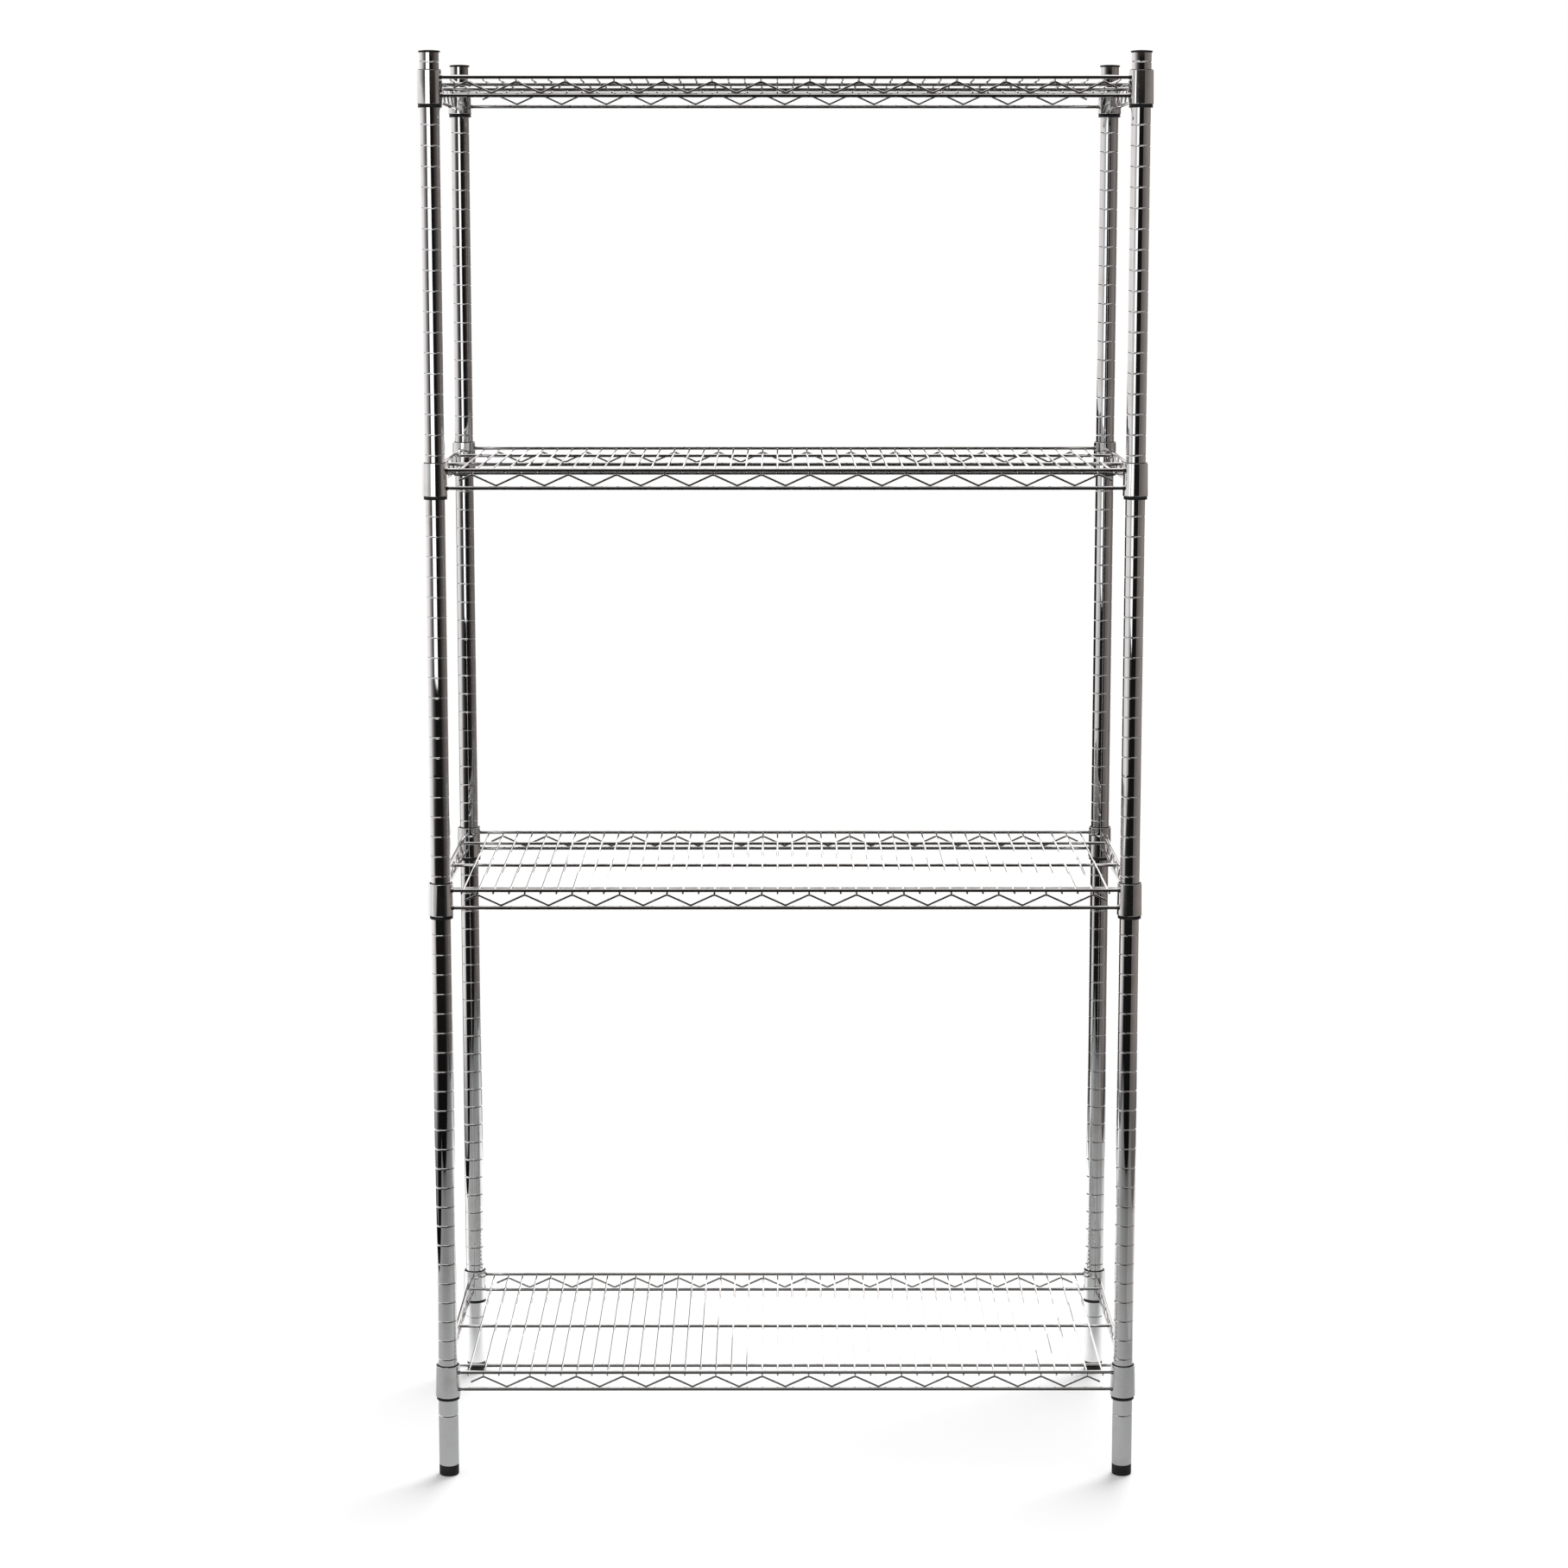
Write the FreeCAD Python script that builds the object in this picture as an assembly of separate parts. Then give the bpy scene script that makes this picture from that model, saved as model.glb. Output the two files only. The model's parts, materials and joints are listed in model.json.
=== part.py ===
import FreeCAD, Part
import math
import os

# Four-tier chrome wire shelving unit, in millimetres.
# Origin on the floor at the middle of the four feet, +X to the right, +Y to the rear, +Z up.

# Driving dimensions: whole unit
UNIT_WIDTH = 908.0          # over the corner sleeves
UNIT_DEPTH = 451.0          # over the corner sleeves
TIER_GROOVES = (1, 26, 47, 66)   # groove that each tier's sleeves stand level with

# Posts: grooved tube in two lengths, screwed together at a seam
POST_DIAMETER = 25.4
POST_WALL = 1.2
GROOVE_PITCH = 25.4
GROOVE_DEPTH = 0.8
GROOVE_WIDTH = 2.6
FIRST_GROOVE = 67.0         # above the end of the tube
LOWER_GROOVES = 33
UPPER_GROOVES = 35
TOP_LAND = 11.6             # plain tube above the last groove

# Joiner inside each post seam
JOINER_LENGTH = 30.0
JOINER_STUD_DIAMETER = 8.0
JOINER_STUD_LENGTH = 26.0

# Post caps
CAP_LIP = 0.75              # flange beyond the tube
CAP_FLANGE = 2.0
CAP_DOME = 1.0
CAP_PLUG_LENGTH = 12.0
CAP_PLUG_WALL = 1.6

# Levelling feet
FOOT_HEIGHT = 14.0
FOOT_DIAMETER = 25.4
FOOT_CHAMFER = 1.2
FOOT_STUD_DIAMETER = 8.0
FOOT_STUD_REACH = 40.0      # above the pad
FOOT_STUD_BURIED = 8.0      # moulded into the pad
FOOT_INSERT_LENGTH = 22.0

# Corner sleeves: tapered steel collars
SLEEVE_HEIGHT = 41.0
SLEEVE_TOP_DIAMETER = 31.2
SLEEVE_BOTTOM_DIAMETER = 32.4
SLEEVE_WALL = 1.3

# Split clips: two tapered halves, with a rib that seats in a post groove
CLIP_BELOW = 4.5            # shows under the sleeve
CLIP_ABOVE = 0.8            # shows over the sleeve
CLIP_DRAFT = 0.05           # the bore widens from the rib to both ends, to leave the mould
CLIP_SPLIT_ANGLE = 2.0      # opening between the halves, degrees
CLIP_GROOVES_UP = 1         # grooves from the sleeve's foot to the rib

# Shelf wires
RIM_DIAMETER = 4.7
STRINGER_DIAMETER = 4.4
DECK_DIAMETER = 2.5
ZIGZAG_DIAMETER = 2.6
RIM_OUTSET = 6.0            # rim wires outside the plane of the post axes
RIM_BELOW_SLEEVE_TOP = 8.5
RIM_ABOVE_SLEEVE_FOOT = 10.1
DECK_WIRES = 42
DECK_END_GAP = 26.4         # post axis to the first deck wire
STRINGER_INSET = 49.0       # rim to the outer stringers
WIRE_OVERHANG = 1.5         # wire ends past the rim's centre line
ZIGZAG_STEP = 3             # deck wires per zigzag peak
SIDE_WAVES = 3              # zigzag waves from the middle stringer to an outer one
WIRE_SIDES = 6              # flats round each wire, few because so many repeat

# Clearances
CLIP_POST_CLEARANCE = 0.1
RIB_CLEARANCE = 0.3
SLEEVE_CLIP_CLEARANCE = 0.2
PRESS_CLEARANCE = 0.05
THREAD_CLEARANCE = 0.25

# Sizes worked out from the driving dimensions
POST_X = (UNIT_WIDTH - SLEEVE_BOTTOM_DIAMETER) / 2
POST_Y = (UNIT_DEPTH - SLEEVE_BOTTOM_DIAMETER) / 2
POST_R = POST_DIAMETER / 2
BORE_R = POST_R - POST_WALL
LOWER_LENGTH = FIRST_GROOVE + LOWER_GROOVES * GROOVE_PITCH
UPPER_LENGTH = UPPER_GROOVES * GROOVE_PITCH + TOP_LAND
SEAM_Z = FOOT_HEIGHT + LOWER_LENGTH
RIM_R = RIM_DIAMETER / 2
DECK_R = DECK_DIAMETER / 2
STRINGER_R = STRINGER_DIAMETER / 2
RIM_X = POST_X + RIM_OUTSET
RIM_Y = POST_Y + RIM_OUTSET
STRINGER_Y = RIM_Y - STRINGER_INSET

# Heights inside one tier, above the foot of its sleeves
TOP_RIM = SLEEVE_HEIGHT - RIM_BELOW_SLEEVE_TOP
BOTTOM_RIM = RIM_ABOVE_SLEEVE_FOOT
DECK = TOP_RIM - RIM_R - DECK_R
STRINGER = DECK - DECK_R - STRINGER_R
SIDE_TOP_RIM = STRINGER + STRINGER_R + RIM_R
SIDE_BOTTOM_RIM = BOTTOM_RIM - (TOP_RIM - SIDE_TOP_RIM)

CORNERS = {
    "front_left": (-1, -1),
    "front_right": (1, -1),
    "rear_left": (-1, 1),
    "rear_right": (1, 1),
}
UP = FreeCAD.Vector(0, 0, 1)
ORIGIN = FreeCAD.Vector(0, 0, 0)


# Helpers

def save(node, *solids):
    shape = solids[0] if len(solids) == 1 else Part.makeCompound(list(solids))
    shape.exportStep(os.path.join("parts", node + ".step"))


def turned(profile, start=0.0, angle=360.0):
    """A solid of revolution about Z from (radius, height) corners."""
    points = [FreeCAD.Vector(r, 0, z) for r, z in profile]
    face = Part.Face(Part.makePolygon(points + points[:1]))
    solid = face.revolve(ORIGIN, UP, angle)
    solid.rotate(ORIGIN, UP, start)
    return solid


def at_post(solid, corner, z=0.0):
    side_x, side_y = CORNERS[corner]
    placed = solid.copy()
    placed.translate(FreeCAD.Vector(side_x * POST_X, side_y * POST_Y, z))
    return placed


def at_all_posts(solid, z=0.0):
    return [at_post(solid, corner, z) for corner in CORNERS]


def groove_z(index):
    return FOOT_HEIGHT + FIRST_GROOVE + index * GROOVE_PITCH


def wire_section(centre, across, diameter, stretch=1.0):
    """Upright outline of a wire: a polygon round the wire's circle, with a flat on top."""
    corner_r = diameter / 2 / math.cos(math.pi / WIRE_SIDES)
    points = []
    for k in range(WIRE_SIDES):
        a = math.pi / 2 + (k + 0.5) * 2 * math.pi / WIRE_SIDES
        points.append(centre + across * (corner_r * math.cos(a)) + UP * (corner_r * math.sin(a) * stretch))
    return Part.makePolygon(points + points[:1])


def straight_wire(start, end, diameter):
    """A level wire between two points."""
    run = end - start
    across = run.cross(UP)
    across.normalize()
    return Part.Face(wire_section(start, across, diameter)).extrude(run)


def zigzag_wire(peaks, valleys, floor, ceiling, base, along):
    """A wire bent up and down to fill the height from floor to ceiling, as a ruled loft through its bends."""
    runs = sorted(peaks + valleys)
    half_wave = runs[1] - runs[0]
    height = ceiling - floor
    share = 1 - (ZIGZAG_DIAMETER / half_wave) ** 2
    spare = height ** 2 - ZIGZAG_DIAMETER ** 2
    rise = (height - math.sqrt(height ** 2 - share * spare)) / share
    stretch = math.hypot(half_wave, rise) / half_wave
    middle = (floor + ceiling) / 2
    bends = [(runs[0] - half_wave / 2, middle)]
    bends += [(run, middle + rise / 2 if run in peaks else middle - rise / 2) for run in runs]
    bends.append((runs[-1] + half_wave / 2, middle))
    across = along.cross(UP)
    centres = [base + along * run + UP * z for run, z in bends]
    return Part.makeLoft([wire_section(c, across, ZIGZAG_DIAMETER, stretch) for c in centres], True, True)


# Posts

def tube(length, groove_heights):
    """A tube standing on Z = 0, with a V groove rolled round it at each height."""
    half = GROOVE_WIDTH / 2
    profile = [(BORE_R, 0), (POST_R, 0)]
    for z in groove_heights:
        profile += [(POST_R, z - half), (POST_R - GROOVE_DEPTH, z), (POST_R, z + half)]
    profile += [(POST_R, length), (BORE_R, length)]
    return turned(profile)


def make_posts():
    # Only the grooves that carry a clip are cut here: every other groove is surface detail.
    clip_grooves = [groove_z(index + CLIP_GROOVES_UP) for index in TIER_GROOVES]
    lower = tube(LOWER_LENGTH, [z - FOOT_HEIGHT for z in clip_grooves if z < SEAM_Z])
    upper = tube(UPPER_LENGTH, [z - SEAM_Z for z in clip_grooves if z > SEAM_Z])
    for corner in CORNERS:
        save("post_" + corner + "_lower", at_post(lower, corner, FOOT_HEIGHT))
        save("post_" + corner + "_upper", at_post(upper, corner, SEAM_Z))


def make_joiners():
    plug_r = BORE_R - PRESS_CLEARANCE
    stud_r = JOINER_STUD_DIAMETER / 2
    hole_r = stud_r + THREAD_CLEARANCE
    socket = turned([(hole_r, -JOINER_LENGTH), (plug_r, -JOINER_LENGTH), (plug_r, 0), (hole_r, 0)])
    stud = turned([
        (0, -JOINER_STUD_LENGTH), (stud_r, -JOINER_STUD_LENGTH), (stud_r, 0),
        (plug_r, 0), (plug_r, JOINER_LENGTH), (0, JOINER_LENGTH),
    ])
    save("joiner_sockets", *at_all_posts(socket, SEAM_Z))
    save("joiner_studs", *at_all_posts(stud, SEAM_Z))


def make_caps():
    """Plastic caps: a hollow plug in the tube, a thin flange on its rim and a low dome."""
    flange_r = POST_R + CAP_LIP
    plug_r = BORE_R - PRESS_CLEARANCE
    hollow_r = plug_r - CAP_PLUG_WALL
    cap = turned([
        (hollow_r, -CAP_PLUG_LENGTH), (plug_r, -CAP_PLUG_LENGTH), (plug_r, 0),
        (flange_r, 0), (flange_r, CAP_FLANGE), (flange_r / 2, CAP_FLANGE + CAP_DOME),
        (0, CAP_FLANGE + CAP_DOME), (0, 0), (hollow_r, 0),
    ])
    save("post_caps", *at_all_posts(cap, SEAM_Z + UPPER_LENGTH))


def make_feet():
    """Levelling feet: a plastic pad moulded on a threaded stud, and its nut in the tube."""
    pad_r = FOOT_DIAMETER / 2
    stud_r = FOOT_STUD_DIAMETER / 2
    socket_r = stud_r + PRESS_CLEARANCE
    socket_floor = FOOT_HEIGHT - FOOT_STUD_BURIED
    pad = turned([
        (0, 0), (pad_r - FOOT_CHAMFER, 0), (pad_r, FOOT_CHAMFER), (pad_r, FOOT_HEIGHT),
        (socket_r, FOOT_HEIGHT), (socket_r, socket_floor), (0, socket_floor),
    ])
    stud = Part.makeCylinder(stud_r, FOOT_STUD_BURIED + FOOT_STUD_REACH)
    hole_r = stud_r + THREAD_CLEARANCE
    plug_r = BORE_R - PRESS_CLEARANCE
    insert = turned([(hole_r, 0), (plug_r, 0), (plug_r, FOOT_INSERT_LENGTH), (hole_r, FOOT_INSERT_LENGTH)])
    for corner in CORNERS:
        save("foot_pad_" + corner, at_post(pad, corner))
        save("foot_stud_" + corner, at_post(stud, corner, socket_floor))
    save("foot_nuts", *at_all_posts(insert, FOOT_HEIGHT))


# Clips

def sleeve_radius(height):
    """Outer radius of a sleeve at a height above its foot."""
    taper = (SLEEVE_TOP_DIAMETER - SLEEVE_BOTTOM_DIAMETER) / 2 / SLEEVE_HEIGHT
    return SLEEVE_BOTTOM_DIAMETER / 2 + taper * height


def make_clips(tier, foot_z):
    """Two half clips round each post, drawn from the foot of the sleeve that wedges on them."""
    inner_r = POST_R + CLIP_POST_CLEARANCE
    mouth_r = inner_r + CLIP_DRAFT
    gap = SLEEVE_WALL + SLEEVE_CLIP_CLEARANCE
    low, high = -CLIP_BELOW, SLEEVE_HEIGHT + CLIP_ABOVE
    rib_z = CLIP_GROOVES_UP * GROOVE_PITCH
    rib_half = GROOVE_WIDTH / 2 - RIB_CLEARANCE
    rib_r = POST_R - GROOVE_DEPTH + RIB_CLEARANCE
    profile = [
        (mouth_r, low), (sleeve_radius(low) - gap, low), (sleeve_radius(high) - gap, high),
        (mouth_r, high), (inner_r, rib_z + rib_half), (rib_r, rib_z), (inner_r, rib_z - rib_half),
    ]
    half_turn = 180.0 - CLIP_SPLIT_ANGLE
    halves = []
    for start in (CLIP_SPLIT_ANGLE / 2, 180.0 + CLIP_SPLIT_ANGLE / 2):
        halves += at_all_posts(turned(profile, start, half_turn), foot_z)
    save("tier_%d_clips" % tier, *halves)


# Shelves

def make_sleeves(tier, foot_z):
    foot_r = sleeve_radius(0)
    top_r = sleeve_radius(SLEEVE_HEIGHT)
    sleeve = turned([
        (foot_r - SLEEVE_WALL, 0), (foot_r, 0), (top_r, SLEEVE_HEIGHT), (top_r - SLEEVE_WALL, SLEEVE_HEIGHT),
    ])
    save("tier_%d_corner_sleeves" % tier, *at_all_posts(sleeve, foot_z))


def rim_wire(start, end, foot_z):
    """A rim wire from post to post, coped to the outside of the sleeves at its two ends."""
    taper = Part.makeCone(sleeve_radius(0), sleeve_radius(SLEEVE_HEIGHT), SLEEVE_HEIGHT)
    return straight_wire(start, end, RIM_DIAMETER).cut(at_all_posts(taper, foot_z)).Solids[0]


def deck_x(index):
    pitch = 2 * (POST_X - DECK_END_GAP) / (DECK_WIRES - 1)
    return DECK_END_GAP - POST_X + index * pitch


def make_long_truss(node, foot_z, y):
    """Front or rear edge: two rim wires, and a zigzag that stands on the lower one under the deck wires."""
    rims = []
    for height in (TOP_RIM, BOTTOM_RIM):
        start = FreeCAD.Vector(-POST_X, y, foot_z + height)
        end = FreeCAD.Vector(POST_X, y, foot_z + height)
        rims.append(rim_wire(start, end, foot_z))
    peaks = [deck_x(index) for index in range(1, DECK_WIRES, ZIGZAG_STEP)]
    valleys = [(a + b) / 2 for a, b in zip(peaks, peaks[1:])]
    base = FreeCAD.Vector(0, y, foot_z)
    along = FreeCAD.Vector(1, 0, 0)
    zigzag = zigzag_wire(peaks, valleys, BOTTOM_RIM + RIM_R, DECK - DECK_R, base, along)
    save(node, *rims, zigzag)


def make_side_truss(node, foot_z, x):
    """Left or right edge: two rim wires over and under the stringer ends, and a zigzag between them."""
    rims = []
    for height in (SIDE_TOP_RIM, SIDE_BOTTOM_RIM):
        start = FreeCAD.Vector(x, -POST_Y, foot_z + height)
        end = FreeCAD.Vector(x, POST_Y, foot_z + height)
        rims.append(rim_wire(start, end, foot_z))
    valleys = [STRINGER_Y * k / SIDE_WAVES for k in range(-SIDE_WAVES, SIDE_WAVES + 1)]
    peaks = [(a + b) / 2 for a, b in zip(valleys, valleys[1:])]
    base = FreeCAD.Vector(x, 0, foot_z)
    along = FreeCAD.Vector(0, 1, 0)
    zigzag = zigzag_wire(peaks, valleys, SIDE_BOTTOM_RIM + RIM_R, SIDE_TOP_RIM - RIM_R, base, along)
    save(node, *rims, zigzag)


def make_stringers(node, foot_z):
    """Three wires from side to side that carry the deck."""
    reach = RIM_X + WIRE_OVERHANG
    wires = []
    for y in (-STRINGER_Y, 0, STRINGER_Y):
        start = FreeCAD.Vector(-reach, y, foot_z + STRINGER)
        wires.append(straight_wire(start, FreeCAD.Vector(reach, y, foot_z + STRINGER), STRINGER_DIAMETER))
    save(node, *wires)


def make_deck(node, foot_z):
    """Thin wires from front to back, on the stringers and under the long rims."""
    reach = RIM_Y + WIRE_OVERHANG
    wires = []
    for index in range(DECK_WIRES):
        start = FreeCAD.Vector(deck_x(index), -reach, foot_z + DECK)
        end = FreeCAD.Vector(deck_x(index), reach, foot_z + DECK)
        wires.append(straight_wire(start, end, DECK_DIAMETER))
    save(node, *wires)


def make_shelf(tier, foot_z):
    name = "tier_%d_" % tier
    make_sleeves(tier, foot_z)
    make_long_truss(name + "front_truss", foot_z, -RIM_Y)
    make_long_truss(name + "rear_truss", foot_z, RIM_Y)
    make_side_truss(name + "left_truss", foot_z, -RIM_X)
    make_side_truss(name + "right_truss", foot_z, RIM_X)
    make_stringers(name + "stringers", foot_z)
    make_deck(name + "deck_wires", foot_z)


os.makedirs("parts", exist_ok=True)
make_posts()
make_joiners()
make_caps()
make_feet()
for number, groove in enumerate(TIER_GROOVES, start=1):
    make_clips(number, groove_z(groove))
    make_shelf(number, groove_z(groove))
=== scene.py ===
# %% [markdown]
# A chrome wire shelving unit, dressed piece by piece.
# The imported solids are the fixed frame: every new piece takes its place from them, rides on one of their
# bodies and, apart from the welds, stands for one of their nodes. Here the frame is loaded, and its box is
# kept for the last cell.

# %% Load the frame
import json
import math

import bmesh
import bpy
from mathutils import Matrix, Vector

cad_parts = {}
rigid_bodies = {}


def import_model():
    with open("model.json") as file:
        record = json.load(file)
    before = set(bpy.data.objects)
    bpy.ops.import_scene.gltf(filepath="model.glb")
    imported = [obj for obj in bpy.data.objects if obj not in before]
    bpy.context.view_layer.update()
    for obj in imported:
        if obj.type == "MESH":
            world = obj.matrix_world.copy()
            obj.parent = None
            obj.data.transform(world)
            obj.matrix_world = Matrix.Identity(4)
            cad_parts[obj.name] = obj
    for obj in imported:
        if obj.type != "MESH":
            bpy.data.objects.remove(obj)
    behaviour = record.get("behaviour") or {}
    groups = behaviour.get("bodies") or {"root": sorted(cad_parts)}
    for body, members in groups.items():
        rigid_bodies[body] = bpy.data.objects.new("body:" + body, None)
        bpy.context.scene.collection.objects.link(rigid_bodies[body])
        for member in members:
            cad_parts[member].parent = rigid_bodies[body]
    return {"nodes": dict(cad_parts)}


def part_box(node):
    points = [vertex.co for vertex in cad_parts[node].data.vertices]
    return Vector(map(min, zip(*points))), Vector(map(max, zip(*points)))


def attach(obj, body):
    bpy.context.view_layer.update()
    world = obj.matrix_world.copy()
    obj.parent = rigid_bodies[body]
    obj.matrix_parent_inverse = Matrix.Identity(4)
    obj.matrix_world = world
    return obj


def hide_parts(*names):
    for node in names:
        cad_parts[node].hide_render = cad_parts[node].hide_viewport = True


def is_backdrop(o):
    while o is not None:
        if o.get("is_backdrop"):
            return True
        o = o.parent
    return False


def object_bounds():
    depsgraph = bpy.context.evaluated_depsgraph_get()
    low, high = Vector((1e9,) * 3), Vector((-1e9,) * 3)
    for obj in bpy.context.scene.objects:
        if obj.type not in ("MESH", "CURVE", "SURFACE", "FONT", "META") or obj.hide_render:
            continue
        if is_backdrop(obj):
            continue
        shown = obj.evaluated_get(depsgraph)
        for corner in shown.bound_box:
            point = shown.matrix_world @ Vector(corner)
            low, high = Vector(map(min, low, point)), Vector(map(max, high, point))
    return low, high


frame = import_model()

scene = bpy.context.scene
cad_low, cad_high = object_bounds()

# %% [markdown]
# Where everything is. Four posts stand at the corners, and four equal shelves hang between them, so one
# shelf is measured and the other three only need the height of their corner sleeves.
# The solid wires have six flats round the true circle, with one flat on top: their height is the wire's
# diameter, and their width has to be brought back from the corners of the hexagon.

# %% Measure the frame
MM = 0.001
CORNERS = ("front_left", "front_right", "rear_left", "rear_right")
TIERS = (1, 2, 3, 4)
FLAT_TO_CORNER = math.cos(math.pi / 6)

post_low, post_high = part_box("post_front_right_lower")
POST_RADIUS = (post_high.x - post_low.x) / 2
POST_X = (post_high.x + post_low.x) / 2
POST_Y = -(post_high.y + post_low.y) / 2
post_axis = {
    corner: Vector((POST_X if "right" in corner else -POST_X, POST_Y if "rear" in corner else -POST_Y, 0))
    for corner in CORNERS
}

tier_foot = {tier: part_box(f"tier_{tier}_corner_sleeves")[0].z for tier in TIERS}
FOOT_Z = tier_foot[1]
sleeve_low, sleeve_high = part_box("tier_1_corner_sleeves")
SLEEVE_HEIGHT = sleeve_high.z - sleeve_low.z
SLEEVE_FOOT_RADIUS = sleeve_high.x - POST_X

front_low, front_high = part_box("tier_1_front_truss")
RIM_RADIUS = (front_high.y - front_low.y) / 2 * FLAT_TO_CORNER
RIM_Y = -(front_high.y + front_low.y) / 2
TOP_RIM = front_high.z - RIM_RADIUS - FOOT_Z
BOTTOM_RIM = front_low.z + RIM_RADIUS - FOOT_Z
side_low, side_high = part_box("tier_1_right_truss")
RIM_X = (side_high.x + side_low.x) / 2
SIDE_TOP_RIM = side_high.z - RIM_RADIUS - FOOT_Z
SIDE_BOTTOM_RIM = side_low.z + RIM_RADIUS - FOOT_Z

print(f"posts at x ±{POST_X:.4f} y ±{POST_Y:.4f}, radius {POST_RADIUS:.4f}")
print(f"rims at x ±{RIM_X:.4f} y ±{RIM_Y:.4f}, radius {RIM_RADIUS:.4f}")

# %% [markdown]
# The chrome. On the real shelf it is a thin bright plating over drawn steel: almost a mirror, a little dulled
# where hands have been, with fine lines left by the drawing of the tube or wire. One node group makes this
# wear for all the plated parts. It could be painted on an image, but noise on Object coordinates needs no
# unwrapping and has no seams. Each finish gives the group its own sizes.

# %% A node group for worn plating
BRIGHT_PLATE = (0.86, 0.865, 0.87, 1)
SMUDGED_PLATE = (0.77, 0.765, 0.75, 1)


def add_node(tree, kind, settings=None, **values):
    """A shader node with its settings, and with values on its input sockets."""
    node = tree.nodes.new("ShaderNode" + kind)
    for name, value in (settings or {}).items():
        setattr(node, name, value)
    for name, value in values.items():
        node.inputs[name.replace("_", " ")].default_value = value
    return node


def add_mix(tree, blend="MIX", **colours):
    """A mix of the two colours A and B."""
    return add_node(tree, "Mix", {"data_type": "RGBA", "blend_type": blend}, **colours)


def connect(tree, *links):
    """Makes links, each from the output of one node to the input of another."""
    for node, output, target, socket in links:
        tree.links.new(node.outputs[output], target.inputs[socket])


def make_plating_wear():
    group = bpy.data.node_groups.new("plating_wear", "ShaderNodeTree")
    for name, kind in (("Position", "Vector"), ("Drawn Position", "Vector"), ("Smudge Scale", "Float"),
                       ("Sharpest", "Float"), ("Dullest", "Float")):
        group.interface.new_socket(name, in_out="INPUT", socket_type="NodeSocket" + kind)
    for name, kind in (("Colour", "Color"), ("Roughness", "Float"), ("Height", "Float")):
        group.interface.new_socket(name, in_out="OUTPUT", socket_type="NodeSocket" + kind)
    given = group.nodes.new("NodeGroupInput")
    out = group.nodes.new("NodeGroupOutput")
    smudge = add_node(group, "TexNoise", Detail=4.0, Roughness=0.6)
    smudge_mask = add_node(group, "MapRange", {"interpolation_type": "SMOOTHSTEP"},
                           From_Min=0.45, From_Max=0.72)
    drawn = add_node(group, "TexNoise", Scale=1.0, Detail=2.0)
    roughness = add_node(group, "MapRange")
    colour = add_mix(group, A=BRIGHT_PLATE, B=SMUDGED_PLATE)
    connect(
        group,
        (given, "Position", smudge, "Vector"),
        (given, "Smudge Scale", smudge, "Scale"),
        (smudge, "Fac", smudge_mask, "Value"),
        (smudge_mask, "Result", roughness, "Value"),
        (given, "Sharpest", roughness, "To Min"),
        (given, "Dullest", roughness, "To Max"),
        (smudge_mask, "Result", colour, "Factor"),
        (given, "Drawn Position", drawn, "Vector"),
        (colour, "Result", out, "Colour"),
        (roughness, "Result", out, "Roughness"),
        (drawn, "Fac", out, "Height"),
    )
    return group


plating_wear = make_plating_wear()
print("node group:", plating_wear.name, len(plating_wear.nodes), "nodes")

# %% [markdown]
# Three chrome finishes come from that group. The posts are the brightest and show long lines up the tube, the
# wires are a little softer, and the pressed sleeves are the dullest. A Bump node with a height of a few
# microns is enough: plating shows every ripple.

# %% Chrome finishes
def new_finish(name):
    finish = bpy.data.materials.new(name)
    finish.use_nodes = True
    tree = finish.node_tree
    return finish, tree, tree.nodes["Principled BSDF"], add_node(tree, "TexCoord")


def chrome(name, lines, smudge_scale, sharpest, dullest, ripple):
    """Plated steel. lines stretches the drawing marks, ripple is their height in metres."""
    finish, tree, shader, place = new_finish(name)
    stretch = add_node(tree, "Mapping", Scale=lines)
    wear = add_node(tree, "Group", {"node_tree": plating_wear},
                    Smudge_Scale=smudge_scale, Sharpest=sharpest, Dullest=dullest)
    bump = add_node(tree, "Bump", Distance=ripple, Strength=0.5)
    shader.inputs["Metallic"].default_value = 1.0
    connect(
        tree,
        (place, "Object", stretch, "Vector"),
        (place, "Object", wear, "Position"),
        (stretch, "Vector", wear, "Drawn Position"),
        (wear, "Colour", shader, "Base Color"),
        (wear, "Roughness", shader, "Roughness"),
        (wear, "Height", bump, "Height"),
        (bump, "Normal", shader, "Normal"),
    )
    return finish


finishes = {
    "chrome_post": chrome("chrome_post", lines=(320, 320, 5), smudge_scale=22,
                          sharpest=0.025, dullest=0.07, ripple=3e-6),
    "chrome_sleeve": chrome("chrome_sleeve", lines=(160, 160, 40), smudge_scale=30,
                            sharpest=0.05, dullest=0.11, ripple=4e-6),
    "chrome_wire": chrome("chrome_wire", lines=(240, 240, 240), smudge_scale=16,
                          sharpest=0.04, dullest=0.09, ripple=3e-6),
}
print("finishes:", *finishes)

# %% [markdown]
# The clips, caps and feet are moulded in black plastic. Moulded plastic is never one flat black: the tool
# leaves a fine grain, and places that rub go greyer and duller. The grain is a small Voronoi pattern used
# as bump, and a wide noise makes the rubbed places. The threads and the hardware inside the posts are steel
# with a zinc coat, which is duller than chrome and a little patchy.

# %% Black plastic and plain steel
NEW_BLACK, RUBBED_BLACK = (0.012, 0.012, 0.013, 1), (0.035, 0.034, 0.033, 1)
PALE_ZINC, BLUE_ZINC = (0.60, 0.59, 0.55, 1), (0.44, 0.45, 0.47, 1)


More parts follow.
